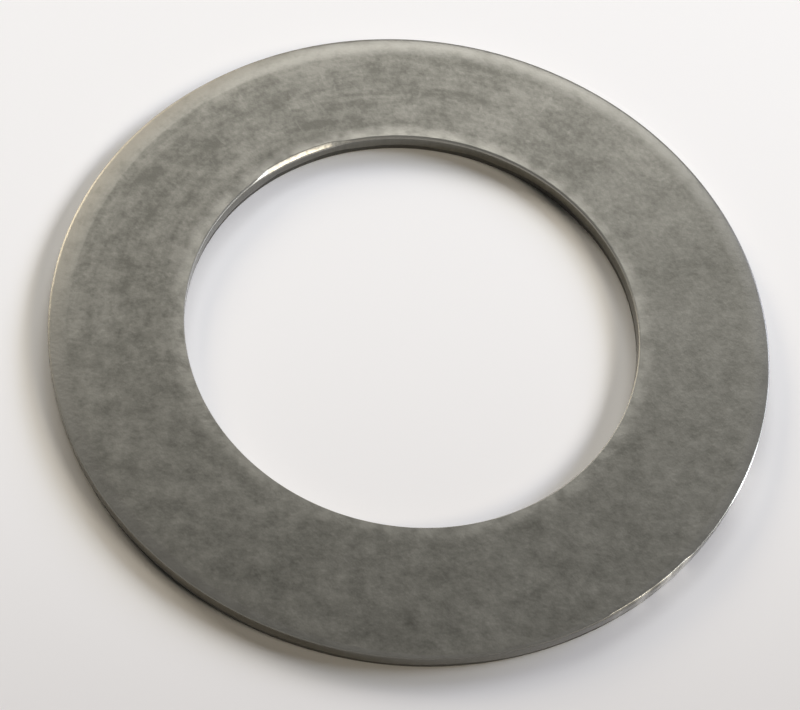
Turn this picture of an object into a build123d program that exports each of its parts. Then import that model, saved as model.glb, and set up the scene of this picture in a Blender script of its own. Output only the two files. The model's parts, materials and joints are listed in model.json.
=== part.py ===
from build123d import *
import os

# Shim ring, 10 x 16 x 0.5 mm: a flat spacer stamped in one stroke from cold-rolled steel strip.
#
# The ring is one piece. A compound die shears its rim and its bore together, so both walls carry the
# same four zones, counted down from the top face:
#   die roll       the strip is drawn down towards the die's edge before the cut begins: an arc that
#                  leaves the face smoothly and meets the land at an arris
#   burnished land the band that the die wipes smooth, straight and parallel to the axis
#   fracture zone  where the steel breaks through, running back by the die's clearance
#   burr corner    the edge of the bottom face, rounded when the rings are tumbled
#
# Frame: millimetres, +Z up along the ring's axis, origin at the centre of the bottom face.

# --- nominal size -----------------------------------------------------------------------------------
shaft_diameter = 10.0       # the ring goes over a shaft of this size
housing_diameter = 16.0     # and drops into a housing of this size
thickness = 0.5             # gauge of the strip

# --- play between the lands and what they fit, on the diameter ---------------------------------------
bore_play = 0.06
rim_play = 0.06

# --- die rolls: how far each reaches over the top face, and how far its edge drops -------------------
rim_roll_width = 0.45
rim_roll_drop = 0.10
bore_roll_width = 0.10
bore_roll_drop = 0.04

# --- sheared walls -----------------------------------------------------------------------------------
fracture_height = 0.20      # top of the fracture zone, above the bottom face
die_clearance = 0.03        # how far the fracture zone runs back from the land
burr_corner_radius = 0.05   # tumbled corner at the bottom face

# --- worked out from the above -----------------------------------------------------------------------
bore_radius = (shaft_diameter + bore_play) / 2
rim_radius = (housing_diameter - rim_play) / 2
bore_land_top = thickness - bore_roll_drop
rim_land_top = thickness - rim_roll_drop
flat_inner_radius = bore_radius + bore_roll_width
flat_outer_radius = rim_radius - rim_roll_width


os.makedirs("parts", exist_ok=True)

with BuildPart() as shim_ring:
    # Section of the ring: X is the distance from the axis, Y is the height above the bottom face.
    with BuildSketch(Plane.XZ) as section:
        with BuildLine() as outline:
            bore_roll = TangentArc(
                (flat_inner_radius, thickness), (bore_radius, bore_land_top), tangent=(-1, 0)
            )
            rim_roll = TangentArc(
                (flat_outer_radius, thickness), (rim_radius, rim_land_top), tangent=(1, 0)
            )
            top_face = Line(bore_roll @ 0, rim_roll @ 0)
            bore_wall = Polyline(
                bore_roll @ 1, (bore_radius, fracture_height), (bore_radius + die_clearance, 0)
            )
            rim_wall = Polyline(
                rim_roll @ 1, (rim_radius, fracture_height), (rim_radius - die_clearance, 0)
            )
            bottom_face = Line(bore_wall @ 1, rim_wall @ 1)
        make_face()
        # Tumbling rounds both corners of the burr side.
        fillet(section.vertices().group_by(Axis.Y)[0], radius=burr_corner_radius)
    revolve(axis=Axis.Z)

shim_ring.part.label = "shim_ring"
export_step(shim_ring.part, "parts/shim_ring.step")
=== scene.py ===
"""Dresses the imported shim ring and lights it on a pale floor.

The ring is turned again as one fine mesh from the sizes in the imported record, with the marks that a
compound die leaves on both walls and the wear of tumbling and handling. Everything is in metres, in the
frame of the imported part: +Z is the ring's axis and its bottom face lies at z = 0.
"""

import json
import logging
import math
from dataclasses import dataclass
from enum import Enum
from typing import Union

import bpy
import numpy as np
from mathutils import Euler, Matrix, Vector, noise


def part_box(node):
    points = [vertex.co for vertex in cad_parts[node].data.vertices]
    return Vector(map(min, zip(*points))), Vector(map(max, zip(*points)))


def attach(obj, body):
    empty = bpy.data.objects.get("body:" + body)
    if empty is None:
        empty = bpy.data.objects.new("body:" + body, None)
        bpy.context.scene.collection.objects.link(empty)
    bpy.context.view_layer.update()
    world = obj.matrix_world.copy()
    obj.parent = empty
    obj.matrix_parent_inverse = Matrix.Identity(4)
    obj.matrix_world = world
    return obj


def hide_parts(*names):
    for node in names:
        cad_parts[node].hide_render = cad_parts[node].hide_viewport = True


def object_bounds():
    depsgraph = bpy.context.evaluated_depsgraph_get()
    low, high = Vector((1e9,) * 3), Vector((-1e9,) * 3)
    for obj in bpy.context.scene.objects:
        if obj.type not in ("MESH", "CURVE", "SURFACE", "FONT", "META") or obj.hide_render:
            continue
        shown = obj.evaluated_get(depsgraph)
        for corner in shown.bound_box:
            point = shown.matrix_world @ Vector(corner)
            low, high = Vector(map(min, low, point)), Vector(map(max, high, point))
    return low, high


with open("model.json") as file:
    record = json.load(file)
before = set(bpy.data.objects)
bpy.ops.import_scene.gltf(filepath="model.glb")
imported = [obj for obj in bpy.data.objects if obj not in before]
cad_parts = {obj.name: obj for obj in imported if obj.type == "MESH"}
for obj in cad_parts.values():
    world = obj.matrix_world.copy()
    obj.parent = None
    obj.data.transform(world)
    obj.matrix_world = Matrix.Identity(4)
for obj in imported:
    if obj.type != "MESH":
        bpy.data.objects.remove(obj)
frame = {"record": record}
cad_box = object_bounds()

MM = 0.001
NODE = "shim_ring"
BODY = "root"

Colour = tuple[float, float, float]
Span = tuple[float, float]
Input = Union[float, bpy.types.NodeSocket]

logging.basicConfig(level=logging.INFO, format="%(message)s")
log = logging.getLogger(NODE)


class Zone(Enum):
    """The zones of the ring's skin that are finished differently, each a share on the mesh's points."""

    ROLL = "roll"
    LAND = "land"
    FRACTURE = "fracture"
    RUBBED = "rubbed"


class Side(Enum):
    """The two sheared walls: which way each one faces, outward from the axis or in towards it."""

    RIM = 1
    BORE = -1


# --- node graphs ---------------------------------------------------------------------------------------


@dataclass(frozen=True)
class Pattern:
    """A fractal noise.

    Its scale is how many features a unit of length holds, its detail is the number of octaves, and its gain
    is how strong each finer octave is against the one before.
    """

    scale: float
    detail: float
    gain: float


class Graph:
    """Short calls for the shader nodes that the finishes are made of."""

    def __init__(self, tree: bpy.types.NodeTree) -> None:
        """Takes over a node tree and empties it."""
        self.tree = tree
        self.tree.nodes.clear()

    def node(self, kind: str, **settings: object) -> bpy.types.Node:
        """Adds a node.

        Args:
            kind: the node's type, without the ShaderNode prefix.
            settings: properties to set on it.

        Returns:
            The new node.
        """
        made = self.tree.nodes.new("ShaderNode" + kind)
        for name, value in settings.items():
            setattr(made, name, value)
        return made

    def feed(self, socket: bpy.types.NodeSocket, value: object) -> None:
        """Links a socket into an input, or sets the input's own value.

        Args:
            socket: the input.
            value: an output socket, a number or a tuple.
        """
        if isinstance(value, bpy.types.NodeSocket):
            self.tree.links.new(value, socket)
        else:
            socket.default_value = value

    def math(self, operation: str, *values: Input, clamp: bool = False) -> bpy.types.NodeSocket:
        """Applies a maths operation to one, two or three values.

        Args:
            operation: the Math node's operation.
            values: numbers or sockets.
            clamp: keeps the result between 0 and 1.

        Returns:
            The result's socket.
        """
        made = self.node("Math", operation=operation, use_clamp=clamp)
        for socket, value in zip(made.inputs, values):
            self.feed(socket, value)
        return made.outputs[0]

    def combine(self, x: Input, y: Input, z: Input) -> bpy.types.NodeSocket:
        """Makes a vector of three values.

        Args:
            x: the first value.
            y: the second value.
            z: the third value.

        Returns:
            The vector's socket.
        """
        made = self.node("CombineXYZ")
        for socket, value in zip(made.inputs, (x, y, z)):
            self.feed(socket, value)
        return made.outputs[0]

    def split(self, vector: Input) -> tuple[bpy.types.NodeSocket, ...]:
        """Takes a vector apart.

        Args:
            vector: the vector.

        Returns:
            The sockets of its three values.
        """
        made = self.node("SeparateXYZ")
        self.feed(made.inputs[0], vector)
        return tuple(made.outputs)

    def shift(self, place: Input, amount: float) -> bpy.types.NodeSocket:
        """Moves a place along Z, which gives a noise another pattern, and returns the socket."""
        x, y, z = self.split(place)
        return self.combine(x, y, self.math("ADD", z, amount))

    def place(self, per_metre: float) -> bpy.types.NodeSocket:
        """The point of the object that is being shaded, in a unit of the caller's choice.

        Args:
            per_metre: how many of the units make a metre.

        Returns:
            The vector's socket.
        """
        made = self.node("VectorMath", operation="SCALE")
        self.feed(made.inputs[0], self.node("TexCoord").outputs["Object"])
        made.inputs["Scale"].default_value = per_metre
        return made.outputs[0]

    def noise(self, place: Input, pattern: Pattern) -> bpy.types.NodeSocket:
        """Fractal noise between about 0 and 1.

        Args:
            place: the vector that it is read at.
            pattern: how fine and how rough it is.

        Returns:
            The noise's socket.
        """
        made = self.node("TexNoise", noise_dimensions="3D")
        self.feed(made.inputs["Vector"], place)
        made.inputs["Scale"].default_value = pattern.scale
        made.inputs["Detail"].default_value = pattern.detail
        made.inputs["Roughness"].default_value = pattern.gain
        return made.outputs["Fac"]

    def step(self, value: Input, low: float, high: float) -> bpy.types.NodeSocket:
        """A smooth step.

        Args:
            value: what the step follows.
            low: where the step is still 0.
            high: where the step has reached 1. It may lie below the low end.

        Returns:
            The step's socket.
        """
        made = self.node("MapRange", interpolation_type="SMOOTHSTEP")
        for socket, item in zip(made.inputs, (value, low, high)):
            self.feed(socket, item)
        return made.outputs[0]

    def mix(self, share: Input, first: object, second: object) -> bpy.types.NodeSocket:
        """Blends two colours.

        Args:
            share: how much of the second there is.
            first: a colour or a colour socket.
            second: a colour or a colour socket.

        Returns:
            The blend's socket.
        """
        made = self.node("Mix", data_type="RGBA", clamp_factor=True)
        self.feed(made.inputs["Factor"], share)
        for name, value in (("A", first), ("B", second)):
            socket = next(s for s in made.inputs if s.name == name and s.type == "RGBA")
            self.feed(socket, (*value, 1.0) if isinstance(value, tuple) else value)
        return next(s for s in made.outputs if s.type == "RGBA")

    def blend(self, share: Input, first: Input, second: Input) -> bpy.types.NodeSocket:
        """Moves a number from first to second as share goes from 0 to 1, and returns its socket."""
        return self.math("MULTIPLY_ADD", self.math("SUBTRACT", second, first), share, first)

    def layers(self, *parts: tuple[bpy.types.NodeSocket, float]) -> bpy.types.NodeSocket:
        """Adds up noises round a middle of one half.

        Args:
            parts: each noise's socket and how strong it is.

        Returns:
            The sum's socket.
        """
        total: Input = 0.5
        for part, strength in parts:
            total = self.math("MULTIPLY_ADD", self.math("SUBTRACT", part, 0.5), strength, total)
        return total

    def product(self, *parts: Input) -> bpy.types.NodeSocket:
        """Multiplies values.

        Args:
            parts: numbers or sockets.

        Returns:
            The product's socket.
        """
        total = parts[0]
        for part in parts[1:]:
            total = self.math("MULTIPLY", total, part)
        return total

    def share(self, zone: Zone) -> bpy.types.NodeSocket:
        """Reads one of the ring's zones from its mesh and returns the socket."""
        return self.node("Attribute", attribute_name=zone.value).outputs["Fac"]


# --- finishes ------------------------------------------------------------------------------------------


@dataclass(frozen=True)
class Mottling:
    """How strong each pattern is in the tone of the face."""

    cloud: float
    mottle: float
    grain: float
    arcs: float = 0.0
    scratches: float = 0.0


@dataclass(frozen=True)
class TumbledSteel:
    """Grey strip steel, tumbled until it is matt, with sheared walls and rubbed edges.

    The face is calm on one side and busy on the side that has been handled, where it is paler near the bore
    and carries faint arcs and scratches. Patterns and reaches are counted in millimetres, the relief in
    metres and angles in degrees. A facing is the cosine of the angle from the handled side, and a span says
    where a change sets in and where it is complete. A least share is what stays of a finish where the
    mottle or the grain thins it, or away from the handled side.
    """

    dark: Colour = (0.107, 0.103, 0.088)
    light: Colour = (0.184, 0.177, 0.154)
    roll: Colour = (0.174, 0.168, 0.149)
    land: Colour = (0.280, 0.271, 0.240)
    # the fracture zone's own duller tone, darkened further as painted shade at the foot of the walls
    torn: Colour = (0.080, 0.075, 0.064)
    handled: Colour = (0.300, 0.290, 0.254)
    rubbed: Colour = (0.800, 0.785, 0.720)

    roughness: float = 0.38
    roughness_swing: float = 0.05
    roll_roughness: float = 0.36
    land_roughness: float = 0.22
    torn_roughness: float = 0.55
    rubbed_roughness: float = 0.20

    cloud: Pattern = Pattern(0.55, 3.0, 0.55)
    mottle: Pattern = Pattern(2.6, 2.0, 0.5)
    grain: Pattern = Pattern(11.0, 1.0, 0.6)
    blotch_shift: float = 16.0
    calm: Mottling = Mottling(cloud=1.0, mottle=1.0, grain=0.75)
    busy: Mottling = Mottling(cloud=1.4, mottle=1.6, grain=1.1, arcs=1.8, scratches=1.0)
    patchy: Span = (0.30, 0.62)

    handled_side: float = 125.0
    busy_facing: Span = (-0.4, 0.9)
    inner_facing: Span = (0.3, 1.0)
    inner_reach: Span = (0.42, 0.05)
    least_inner_patchy: float = 0.4
    least_inner_away: float = 0.45
    least_roll: float = 0.6
    rub_grain: Span = (0.35, 0.60)
    least_rub: float = 0.5

    arc: Pattern = Pattern(1.0, 3.0, 0.6)
    arcs_across: float = 3.2
    arcs_along: float = 0.5
    scratch: Pattern = Pattern(1.0, 2.0, 0.5)
    scratches_round: float = 34.0
    scratches_across: float = 1.3
    scratch_lines: Span = (0.66, 0.76)
    stria: Pattern = Pattern(1.0, 3.0, 0.6)
    striae_round: float = 60.0
    striae_down: float = 2.0

    relief: float = 0.004 * MM
    mottle_relief: float = 0.3
    grain_relief: float = 0.6

    def material(self, bore: float) -> bpy.types.Material:
        """Builds the material.

        Args:
            bore: radius of the bore in millimetres.

        Returns:
            The material.
        """
        made = bpy.data.materials.new("tumbled_steel")
        made.use_nodes = True
        g = Graph(made.node_tree)
        place = g.place(1.0 / MM)
        blotch = g.shift(place, self.blotch_shift)
        x, y, z = g.split(place)
        radius = g.math("SQRT", g.math("MULTIPLY_ADD", x, x, g.math("MULTIPLY", y, y)))
        cos, sin = g.math("DIVIDE", x, radius), g.math("DIVIDE", y, radius)

        cloud = g.noise(blotch, self.cloud)
        mottle = g.noise(blotch, self.mottle)
        grain = g.noise(place, self.grain)
        side = math.radians(self.handled_side)
        facing = g.math("MULTIPLY_ADD", cos, math.cos(side), g.math("MULTIPLY", sin, math.sin(side)))
        arcs = self._arcs(g, cos, sin, radius)
        stria = self._striae(g, cos, sin, z)
        patchy = g.step(mottle, *self.patchy)

        calm = g.layers((cloud, self.calm.cloud), (mottle, self.calm.mottle), (grain, self.calm.grain))
        busy = g.layers(
            (cloud, self.busy.cloud),
            (mottle, self.busy.mottle),
            (grain, self.busy.grain),
            (arcs, self.busy.arcs),
            (self._scratches(g, cos, sin, radius), self.busy.scratches),
        )
        face = g.mix(g.blend(g.step(facing, *self.busy_facing), calm, busy), self.dark, self.light)
        far, near = self.inner_reach
        inner = g.product(
            g.step(radius, bore + far, bore + near),
            g.blend(patchy, self.least_inner_patchy, 1.0),
            g.blend(g.step(facing, *self.inner_facing), self.least_inner_away, 1.0),
        )
        face = g.mix(inner, face, self.handled)
        roll = g.product(g.share(Zone.ROLL), g.blend(patchy, self.least_roll, 1.0))
        speckled = g.blend(g.step(grain, *self.rub_grain), self.least_rub, 1.0)
        rubbed = g.product(g.share(Zone.RUBBED), speckled)
        colour = g.mix(roll, face, self.roll)
        colour = g.mix(g.share(Zone.LAND), colour, g.mix(stria, self.light, self.land))
        # the fracture zone takes the torn tone: its own duller steel, with painted shade at the foot of the
        # walls
        colour = g.mix(g.share(Zone.FRACTURE), colour, g.mix(stria, self.torn, self.dark))
        colour = g.mix(rubbed, colour, self.rubbed)

        low, high = self.roughness - self.roughness_swing, self.roughness + self.roughness_swing
        rough = g.blend(mottle, low, high)
        rough = g.blend(g.share(Zone.ROLL), rough, self.roll_roughness)
        rough = g.blend(g.share(Zone.LAND), rough, self.land_roughness)
        rough = g.blend(g.share(Zone.FRACTURE), rough, self.torn_roughness)
        rough = g.blend(rubbed, rough, self.rubbed_roughness)

        sheared = g.math("MAXIMUM", g.share(Zone.LAND), g.share(Zone.FRACTURE))
        dimples = g.layers((mottle, self.mottle_relief), (grain, self.grain_relief))
        height = g.math("MULTIPLY_ADD", sheared, stria, dimples)
        bump = g.node("Bump")
        bump.inputs["Distance"].default_value = self.relief
        g.feed(bump.inputs["Height"], height)

        shader = g.node("BsdfPrincipled")
        shader.inputs["Metallic"].default_value = 1.0
        g.feed(shader.inputs["Base Color"], colour)
        g.feed(shader.inputs["Roughness"], rough)
        g.feed(shader.inputs["Normal"], bump.outputs[0])
        g.feed(g.node("OutputMaterial").inputs["Surface"], shader.outputs[0])
        return made

    def _arcs(self, g: Graph, cos: Input, sin: Input, radius: Input) -> bpy.types.NodeSocket:
        """Arcs that follow the ring.

        Args:
            g: the graph.
            cos: cosine of the place's angle round the ring.
            sin: sine of that angle.
            radius: distance from the axis in millimetres.

        Returns:
            The noise's socket.
        """
        along = self.arcs_along * math.tau
        x, y = g.math("MULTIPLY", cos, along), g.math("MULTIPLY", sin, along)
        return g.noise(g.combine(x, y, g.math("MULTIPLY", radius, self.arcs_across)), self.arc)

    def _scratches(self, g: Graph, cos: Input, sin: Input, radius: Input) -> bpy.types.NodeSocket:
        """A few pale scratches across the face.

        Args:
            g: the graph.
            cos: cosine of the place's angle round the ring.
            sin: sine of that angle.
            radius: distance from the axis in millimetres.

        Returns:
            The socket of a value that is one half away from them.
        """
        x, y = g.math("MULTIPLY", cos, self.scratches_round), g.math("MULTIPLY", sin, self.scratches_round)
        bent = g.combine(x, y, g.math("MULTIPLY", radius, self.scratches_across))
        lines = g.step(g.noise(bent, self.scratch), *self.scratch_lines)
        return g.math("MULTIPLY_ADD", lines, 0.5, 0.5)

    def _striae(self, g: Graph, cos: Input, sin: Input, z: Input) -> bpy.types.NodeSocket:
        """Fine upright marks down the sheared walls, as a noise's socket."""
        x, y = g.math("MULTIPLY", cos, self.striae_round), g.math("MULTIPLY", sin, self.striae_round)
        return g.noise(g.combine(x, y, g.math("MULTIPLY", z, self.striae_down)), self.stria)


@dataclass(frozen=True)
class PaperWithPaintedShade:
    """Pale backdrop paper with painted shade, whose tone falls away softly towards the front.

    Distances are counted in outer radii of the ring, from its axis towards the back, in a direction that
    leans some degrees to the left. The tone is halfway down at the middle.
    """

    pale: Colour = (0.930, 0.932, 0.930)
    # painted shade: the tone that the paper falls to at the front
    shade: Colour = (0.580, 0.565, 0.555)
    middle: float = -0.97
    softness: float = 1.17
    lean: float = 14.0
    roughness: float = 0.9

    def material(self, radius: float) -> bpy.types.Material:
        """Builds the material.

        Args:
            radius: the ring's outer radius.

        Returns:
            The material.
        """
        made = bpy.data.materials.new("graded_paper")
        made.use_nodes = True
        g = Graph(made.node_tree)
        # painted shade: the paper darkens softly towards the front
        x, y, _ = g.split(g.place(1.0 / radius))
        lean = math.radians(self.lean)
        back = g.math("MULTIPLY_ADD", x, -math.sin(lean), g.math("MULTIPLY", y, math.cos(lean)))
        past = g.math("DIVIDE", g.math("SUBTRACT", self.middle, back), self.softness)
        fall = g.math("MULTIPLY_ADD", g.math("TANH", past), 0.5, 0.5)
        shader = g.node("BsdfPrincipled")
        g.feed(shader.inputs["Base Color"], g.mix(fall, self.pale, self.shade))
        shader.inputs["Roughness"].default_value = self.roughness
        shader.inputs["Specular IOR Level"].default_value = 0.0
        g.feed(g.node("OutputMaterial").inputs["Surface"], shader.outputs[0])
        return made


# --- the ring ------------------------------------------------------------------------------------------


def steps(count: int, end: float = 1.0) -> np.ndarray:
    """Even steps on from 0, which is left out, up to the end, as a row."""
    return np.linspace(0.0, end, count + 1)[None, 1:]


@dataclass(frozen=True)
class Patch:
    """A worn stretch of an edge.

    Its middle, half its length and the stretch over which it fades out at each end are in degrees.
    """

    middle: float
    reach: float
    fade: float
    strength: float = 1.0

    def share(self, turn: np.ndarray) -> np.ndarray:
        """How worn the edge is at each angle, given in radians."""
        away = np.abs((np.degrees(turn) - self.middle + 180.0) % 360.0 - 180.0)
        return self.strength * np.clip((self.reach - away) / self.fade, 0.0, 1.0)


@dataclass(frozen=True)
class Wear:
    """How the arris and the wall below it are worn.

    Knocks are flats on the arris, and they grow steeper from the face to the wall. Rubs are polished
    stretches, which go down the wall by the share in rubbed_wall.
    """

    knocks: tuple[Patch, ...]
    knock_width: float
    knock_slopes: tuple[float, float]
    rubs: tuple[Patch, ...]
    rubbed_wall: float

    def knocked(self, turn: np.ndarray) -> np.ndarray:
        """How far the arris is knocked flat at each angle, from 0 to 1, as a column."""
        return np.clip(sum(patch.share(turn) for patch in self.knocks), 0.0, 1.0)[:, None]

    def rubbed(self, turn: np.ndarray) -> np.ndarray:
        """How far the edge is polished at each angle, from 0 to 1, as a column."""
        return np.clip(sum(patch.share(turn) for patch in self.rubs), 0.0, 1.0)[:, None]


@dataclass(frozen=True)
class DieRoll:
    """The draw of the top face down to an arris, uneven round the ring as the punch stood off-centre.

    The angles are in degrees. The slopes are the ones just before the arris, as a tangent, and the roll is
    steepest where it is widest. Round the creased side it sets off from the face at a faint crease.
    """

    wide: float
    narrow: float
    steep: float
    gentle: float
    widest: float = 110.0
    creased: float = 185.0
    creased_spread: float = 1.5
    smooth_bow: float = 2.6
    creased_bow: float = 1.3

    def width(self, turn: np.ndarray) -> np.ndarray:
        """How far the roll reaches over the top face at each angle, in metres."""
        return self.narrow + (self.wide - self.narrow) * np.sqrt(self._nearness(turn))

    def slope(self, turn: np.ndarray) -> np.ndarray:
        """How steep the roll is just before the arris at each angle."""
        return self.gentle + (self.steep - self.gentle) * self._nearness(turn)

    def bow(self, turn: np.ndarray) -> np.ndarray:
        """How bowed the roll is at each angle, as the power that its drop follows."""
        share = np.clip(self.creased_spread * np.cos(turn - math.radians(self.creased)), 0.0, 1.0)
        return self.smooth_bow + (self.creased_bow - self.smooth_bow) * share

    def _nearness(self, turn: np.ndarray) -> np.ndarray:
        """How near each angle is to the side where the roll is widest, from 0 to 1."""
        return 0.5 + 0.5 * np.cos(turn - math.radians(self.widest))


@dataclass(frozen=True)
class Drift:
    """A change round the ring that closes on itself.

    It has about so many waves in a full turn, and goes this far to each side of the mean. The layer picks
    a pattern that is independent of the others.
    """

    waves: float
    reach: float
    layer: float


@dataclass
class ShearedWall:
    """One wall of the ring, from the flat of the top face down to the flat of the bottom face.

    Next to the face it has the die roll, then the arris, the land, the fracture and a tumbled corner. Sizes
    are in metres, but the drift of the roll is a share of its width, and its least width is counted in
    widths of the arris. Three powers say how the roll's points crowd towards the face, how its finish sets
    in and how the polish fades down the wall. The patterns of the two walls and of the tear's rows lie
    some way apart in the noise.
    """

    side: Side
    radius: float
    torn_height: float
    thickness: float
    roll: DieRoll
    wear: Wear
    die_clearance: float = 0.03 * MM
    arris: float = 0.006 * MM
    corner: float = 0.05 * MM
    least_width: float = 1.2
    roll_drift: Drift = Drift(waves=14.0, reach=0.10, layer=0.0)
    scrape: Drift = Drift(waves=500.0, reach=0.0015 * MM, layer=20.0)
    tear_line: Drift = Drift(waves=40.0, reach=0.05 * MM, layer=10.0)
    tear: Drift = Drift(waves=260.0, reach=0.008 * MM, layer=30.0)
    tear_spacing: float = 3.0
    walls_apart: float = 100.0
    roll_spacing: float = 1.3
    roll_onset: float = 0.5
    rub_fading: float = 0.6
    roll_points: int = 12
    arris_points: int = 6
    land_points: int = 4
    torn_points: int = 8
    corner_points: int = 4

    def drift(self, turn: np.ndarray, drift: Drift, row: int = 0) -> np.ndarray:
        """Follows a drift round this wall.

        Args:
            turn: the angles.
            drift: its waves, reach and layer.
            row: how many rows of points this one lies below the first.

        Returns:
            How far it goes at each angle, as a column.
        """
        size = drift.waves / math.tau
        own = drift.layer + self.tear_spacing * row + self.walls_apart * self.side.value
        swing = [noise.noise(Vector((size * math.cos(a), size * math.sin(a), own))) for a in turn]
        return drift.reach * np.array(swing)[:, None]

    def points(self, turn: np.ndarray) -> tuple[np.ndarray, np.ndarray, dict[Zone, np.ndarray]]:
        """Runs down the wall from the top face to the bottom face at every angle.

        Args:
            turn: the angles.

        Returns:
            Radii, heights and each zone's share, with one row for each angle.
        """
        arris = self.arris + self.wear.knock_width * self.wear.knocked(turn)
        width = self.roll.width(turn)[:, None] * (1.0 + self.drift(turn, self.roll_drift))
        width = np.maximum(width, self.least_width * arris)
        slope, bow = self.roll.slope(turn)[:, None], self.roll.bow(turn)[:, None]

        along = np.linspace(0.0, 1.0, self.roll_points)[None, :] ** self.roll_spacing
        roll_r = -width + (width - arris) * along
        roll_z = self.thickness - slope / bow * (width - arris) * along**bow
        down = steps(self.arris_points)
        first, last = self.wear.knock_slopes
        arris_r = arris * (down - 1.0)
        arris_z = roll_z[:, -1:] - arris * (first * down + 0.5 * (last - first) * down**2)

        torn_top = self.torn_height + self.drift(turn, self.tear_line)
        land_z = arris_z[:, -1:] + (torn_top - arris_z[:, -1:]) * steps(self.land_points)
        land_r = np.zeros_like(land_z) + self.drift(turn, self.scrape)
        down = steps(self.torn_points)
        torn_z = torn_top + (self.corner - torn_top) * down
        tear = np.concatenate([self.drift(turn, self.tear, row) for row in range(self.torn_points)], axis=1)
        torn_r = -self.die_clearance * (torn_top - torn_z) / torn_top + tear * np.sin(math.pi * down) ** 0.5
        bend = steps(self.corner_points, math.pi / 2)
        foot = torn_r[:, -1:]
        corner_r = foot - self.corner * (1.0 - np.cos(bend))
        corner_z = self.corner * (1.0 - np.sin(bend)) + np.zeros_like(foot)

        out = np.concatenate([roll_r, arris_r, land_r, torn_r, corner_r], axis=1)
        heights = np.concatenate([roll_z, arris_z, land_z, torn_z, corner_z], axis=1)
        return self.radius + self.side.value * out, heights, self._shares(turn)

    def _shares(self, turn: np.ndarray) -> dict[Zone, np.ndarray]:
        """Says how far each zone's finish reaches.

        Args:
            turn: the angles.

        Returns:
            Each zone's share at every point of the wall, with one row for each angle.
        """
        none, full = np.zeros, np.ones
        roll_n, arris_n, land_n = self.roll_points, self.arris_points, self.land_points
        torn_n, corner_n = self.torn_points, self.corner_points
        below = land_n + torn_n + corner_n
        onset = np.linspace(0, 1, roll_n) ** self.roll_onset
        fading = self.wear.rubbed_wall * np.linspace(1, 0, below) ** self.rub_fading
        roll = np.concatenate([onset, full(arris_n), none(below)])
        land = np.concatenate([none(roll_n + arris_n - 1), full(land_n + 1), none(torn_n + corner_n)])
        torn = np.concatenate([none(roll_n + arris_n + land_n), full(torn_n), np.linspace(1, 0, corner_n)])
        rubbed = np.concatenate([none(roll_n - 1), full(arris_n + 1), fading])
        across = full((len(turn), 1))
        return {
            Zone.ROLL: across * roll,
            Zone.LAND: across * land,
            Zone.FRACTURE: across * torn,
            Zone.RUBBED: self.wear.rubbed(turn) * rubbed,
        }


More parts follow.
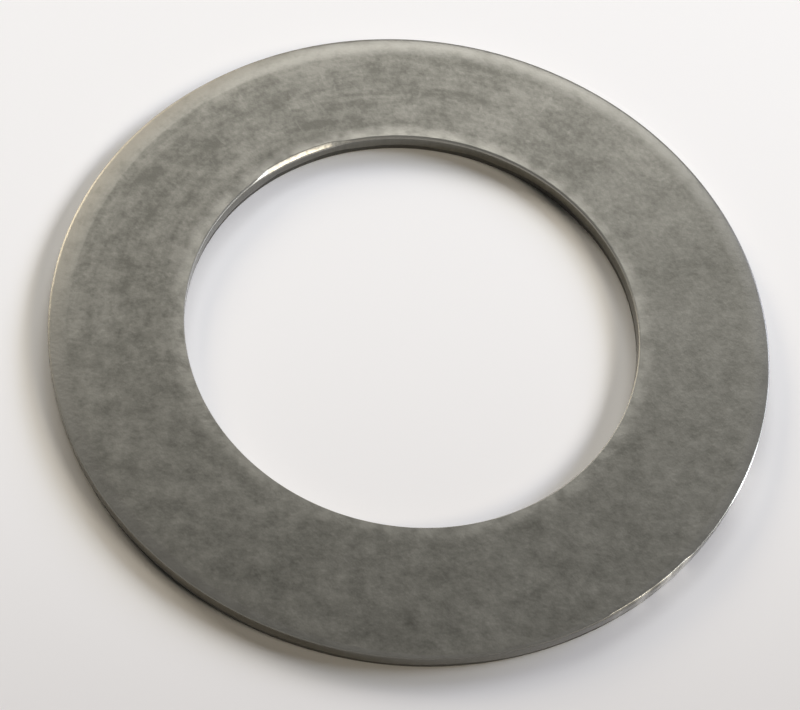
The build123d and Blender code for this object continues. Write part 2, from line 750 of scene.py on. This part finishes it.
@dataclass
class ShimRing:
    """The ring's dressed mesh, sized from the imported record."""

    rim_roll: DieRoll = DieRoll(wide=0.54 * MM, narrow=0.06 * MM, steep=0.28, gentle=0.02)
    bore_roll: DieRoll = DieRoll(wide=0.06 * MM, narrow=0.01 * MM, steep=0.72, gentle=0.02, widest=70.0)
    rim_wear: Wear = Wear(
        knocks=(Patch(318.0, 8.6, 1.0),),
        knock_width=0.03 * MM,
        knock_slopes=(0.9, 2.0),
        rubs=(
            Patch(318.0, 9.5, 2.0, 0.1),
            Patch(311.7, 1.6, 1.6, 0.3),
            Patch(316.1, 2.0, 1.8, 0.65),
            Patch(321.6, 2.6, 2.2, 0.95),
            Patch(325.3, 2.0, 1.8, 0.95),
            Patch(343.5, 7.0, 5.0, 0.9),
        ),
        rubbed_wall=1.0,
    )
    bore_wear: Wear = Wear(
        knocks=(Patch(130.5, 15.5, 6.0),),
        knock_width=0.085 * MM,
        knock_slopes=(0.60, 0.82),
        rubs=(Patch(131.0, 17.0, 10.0, 0.35),),
        rubbed_wall=0.0,
    )
    turns: int = 1200
    face_points: int = 4
    finish: TumbledSteel = TumbledSteel()

    def wall(self, side: Side, roll: DieRoll, wear: Wear) -> ShearedWall:
        """Sizes one sheared wall from the mount that the record has on its land.

        Args:
            side: which wall.
            roll: the die roll over it.
            wear: how its arris is worn.

        Returns:
            The wall.
        """
        mount = next(m for m in frame["record"]["mounts"] if m["name"] == side.name.lower())
        return ShearedWall(
            side=side,
            radius=mount["dims"]["r_mm"] * MM,
            torn_height=mount["pos_m"][2] - mount["dims"]["length_mm"] * MM / 2,
            thickness=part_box(NODE)[1].z,
            roll=roll,
            wear=wear,
        )

    def build(self) -> bpy.types.Object:
        """Turns the ring's section round its axis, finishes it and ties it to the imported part.

        Returns:
            The ring's object.
        """
        turn = np.linspace(0.0, math.tau, self.turns, endpoint=False)
        rim = self.wall(Side.RIM, self.rim_roll, self.rim_wear)
        bore = self.wall(Side.BORE, self.bore_roll, self.bore_wear)
        rim_r, rim_z, rim_share = rim.points(turn)
        bore_r, bore_z, bore_share = bore.points(turn)
        across = np.linspace(0.0, 1.0, self.face_points + 2)[None, 1:-1]
        top_r = bore_r[:, :1] + (rim_r[:, :1] - bore_r[:, :1]) * across
        bottom_r = rim_r[:, -1:] + (bore_r[:, -1:] - rim_r[:, -1:]) * across
        radii = np.concatenate([top_r, rim_r, bottom_r, bore_r[:, ::-1]], axis=1)
        top_z, bottom_z = np.full_like(top_r, rim_z[0, 0]), np.zeros_like(bottom_r)
        heights = np.concatenate([top_z, rim_z, bottom_z, bore_z[:, ::-1]], axis=1)
        x, y = radii * np.cos(turn)[:, None], radii * np.sin(turn)[:, None]
        mesh = self._skin(np.stack([x, y, heights], axis=-1))
        plain = np.zeros_like(top_r)
        for zone in Zone:
            share = np.concatenate([plain, rim_share[zone], plain, bore_share[zone][:, ::-1]], axis=1)
            values = share.astype(np.float32).ravel()
            mesh.attributes.new(zone.value, "FLOAT", "POINT").data.foreach_set("value", values)
        mesh.materials.append(self.finish.material(bore.radius / MM))
        ring = bpy.data.objects.new("steel_ring", mesh)
        bpy.context.scene.collection.objects.link(ring)
        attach(ring, BODY)
        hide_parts(NODE)
        log.info("%s: %d points, %d faces", ring.name, len(mesh.vertices), len(mesh.polygons))
        return ring

    def _skin(self, places: np.ndarray) -> bpy.types.Mesh:
        """Joins the points of every section to those of the next, all the way round.

        Args:
            places: the points, by section and then by place in the section.

        Returns:
            A smooth closed mesh.
        """
        rows, columns, _ = places.shape
        here = np.arange(rows)[:, None] * columns + np.arange(columns)[None, :]
        beside = np.roll(here, -1, axis=0)
        faces = np.stack([here, beside, np.roll(beside, -1, axis=1), np.roll(here, -1, axis=1)], axis=-1)
        mesh = bpy.data.meshes.new("ring_of_steel")
        mesh.from_pydata(places.reshape(-1, 3).tolist(), [], faces.reshape(-1, 4).tolist())
        mesh.validate()
        mesh.shade_smooth()
        return mesh


# --- the studio ----------------------------------------------------------------------------------------


@dataclass
class PaleFloor:
    """A wide sheet of pale paper that the ring lies on."""

    width: float = 3.0
    finish: PaperWithPaintedShade = PaperWithPaintedShade()

    def build(self) -> bpy.types.Object:
        """Lays the floor at the ring's bottom face.

        Returns:
            The floor's object.
        """
        half = self.width / 2
        low, high = cad_box
        corners = [(x, y, low[2]) for x, y in ((-half, -half), (half, -half), (half, half), (-half, half))]
        mesh = bpy.data.meshes.new("pale_floor")
        mesh.from_pydata(corners, [], [(0, 1, 2, 3)])
        mesh.materials.append(self.finish.material((high[0] - low[0]) / 2))
        floor = bpy.data.objects.new("pale_floor", mesh)
        bpy.context.scene.collection.objects.link(floor)
        log.info("%s: %.1f m wide", floor.name, self.width)
        return floor


class Gel(Enum):
    """The colours of the soft boxes."""

    CLEAR = (1.0, 1.0, 1.0)
    WARM = (1.0, 0.88, 0.70)
    COOL = (0.86, 0.91, 1.0)
    SKY = (0.72, 0.77, 1.0)


@dataclass(frozen=True)
class SoftBox:
    """A round soft box that faces the ring.

    Its azimuth is counted from +X towards +Y. Its level is how bright it alone would make white paper that
    faces it, where 1 is white.
    """

    name: str
    azimuth: float
    elevation: float
    level: float
    gel: Gel = Gel.CLEAR
    size: float = 0.18
    distance: float = 0.5

    def build(self) -> bpy.types.Object:
        """Hangs the soft box.

        Returns:
            The soft box's object.
        """
        lamp = bpy.data.lights.new(self.name, "AREA")
        lamp.shape = "DISK"
        lamp.size = self.size
        lamp.color = self.gel.value
        lamp.energy = self.level * (math.pi * self.distance) ** 2
        turn, rise = math.radians(self.azimuth), math.radians(self.elevation)
        towards = Vector((math.cos(rise) * math.cos(turn), math.cos(rise) * math.sin(turn), math.sin(rise)))
        made = bpy.data.objects.new(self.name, lamp)
        made.location = towards * self.distance
        made.rotation_euler = towards.to_track_quat("Z", "Y").to_euler()
        made.visible_camera = False
        bpy.context.scene.collection.objects.link(made)
        log.info("%s: %.2f W", self.name, lamp.energy)
        return made


@dataclass
class Studio:
    """Soft boxes from the right round the back to the left, in a pale room.

    The room is pale all round, with a dark part high at the back. The dark part's two limits are cosines of
    the angle from its middle. The room only shows where the camera sees it or steel mirrors it, and the
    soft boxes give all the light on the floor.
    """

    room: Colour = (0.75, 0.75, 0.75)
    dark_elevation: float = 58.8
    dark_within: float = 0.99
    pale_beyond: float = 0.70
    boxes: tuple[SoftBox, ...] = (
        SoftBox("right_front", -20.0, 40.0, 0.30, Gel.WARM),
        SoftBox("right_window", 20.0, 35.0, 0.45, Gel.COOL),
        SoftBox("right_back", 40.0, 25.0, 0.36, Gel.SKY),
        SoftBox("back_right", 80.0, 35.0, 0.13, Gel.CLEAR),
        SoftBox("back_left", 100.0, 35.0, 0.16, Gel.CLEAR),
        SoftBox("back_high", 80.0, 48.0, 0.08, Gel.CLEAR),
        SoftBox("left_high", 120.0, 48.0, 0.10, Gel.CLEAR),
        SoftBox("left_warm", 140.0, 25.0, 0.36, Gel.WARM),
        SoftBox("left_low", 120.0, 15.0, 0.12, Gel.WARM),
    )

    def build(self) -> None:
        """Puts the ring in its room and hangs the soft boxes."""
        bpy.context.scene.world = self._room()
        for box in self.boxes:
            box.build()

    def _room(self) -> bpy.types.World:
        """Makes the pale room with its dark part.

        Returns:
            The world.
        """
        world = bpy.data.worlds.new("studio")
        world.use_nodes = True
        g = Graph(world.node_tree)
        towards = g.node("VectorMath", operation="DOT_PRODUCT")
        g.feed(towards.inputs[0], g.node("TexCoord").outputs["Generated"])
        rise = math.radians(self.dark_elevation)
        towards.inputs[1].default_value = (0.0, math.cos(rise), math.sin(rise))
        pale = g.step(towards.outputs["Value"], self.dark_within, self.pale_beyond)
        path = g.node("LightPath").outputs
        mirrored = g.math("MAXIMUM", path["Is Glossy Ray"], path["Is Transmission Ray"])
        shown = g.math("MAXIMUM", path["Is Camera Ray"], mirrored)
        back = g.node("Background")
        back.inputs["Color"].default_value = (*self.room, 1.0)
        g.feed(back.inputs["Strength"], g.math("MULTIPLY", pale, shown))
        g.feed(g.node("OutputWorld").inputs["Surface"], back.outputs[0])
        return world


@dataclass
class Camera:
    """The camera, given by where it stands about the ring.

    Its distance and its aim are in outer radii of the ring, its lens and sensor in millimetres, and the
    nearest thing that it can see is that many metres away.
    """

    elevation: float = 58.8
    roll: float = 10.8
    distance: float = 5.97
    aim_x: float = -0.02
    aim_y: float = -0.113
    lens: float = 98.1
    sensor: float = 36.0
    nearest: float = 1.0 * MM

    def build(self) -> bpy.types.Object:
        """Sets up the camera.

        Returns:
            The camera's object.
        """
        low, high = (Vector(corner) for corner in cad_box)
        radius = (high.x - low.x) / 2
        rise = math.radians(self.elevation)
        aim = Vector((self.aim_x * radius, self.aim_y * radius, high.z))
        data = bpy.data.cameras.new("camera")
        data.lens = self.lens
        data.sensor_width = self.sensor
        data.clip_start = self.nearest
        camera = bpy.data.objects.new("camera", data)
        camera.location = aim + self.distance * radius * Vector((0.0, -math.cos(rise), math.sin(rise)))
        tilt = Euler((math.pi / 2 - rise, 0.0, 0.0)).to_matrix()
        camera.rotation_euler = (tilt @ Matrix.Rotation(math.radians(self.roll), 3, "Z")).to_euler()
        bpy.context.scene.collection.objects.link(camera)
        bpy.context.scene.camera = camera
        log.info("%s: %.1f degrees up", camera.name, self.elevation)
        return camera


def main() -> None:
    """Builds the ring, the floor, the lights and the camera, in that order."""
    bpy.context.scene.view_settings.view_transform = "Standard"
    ShimRing().build()
    PaleFloor().build()
    Studio().build()
    Camera().build()


if __name__ == "__main__":
    main()
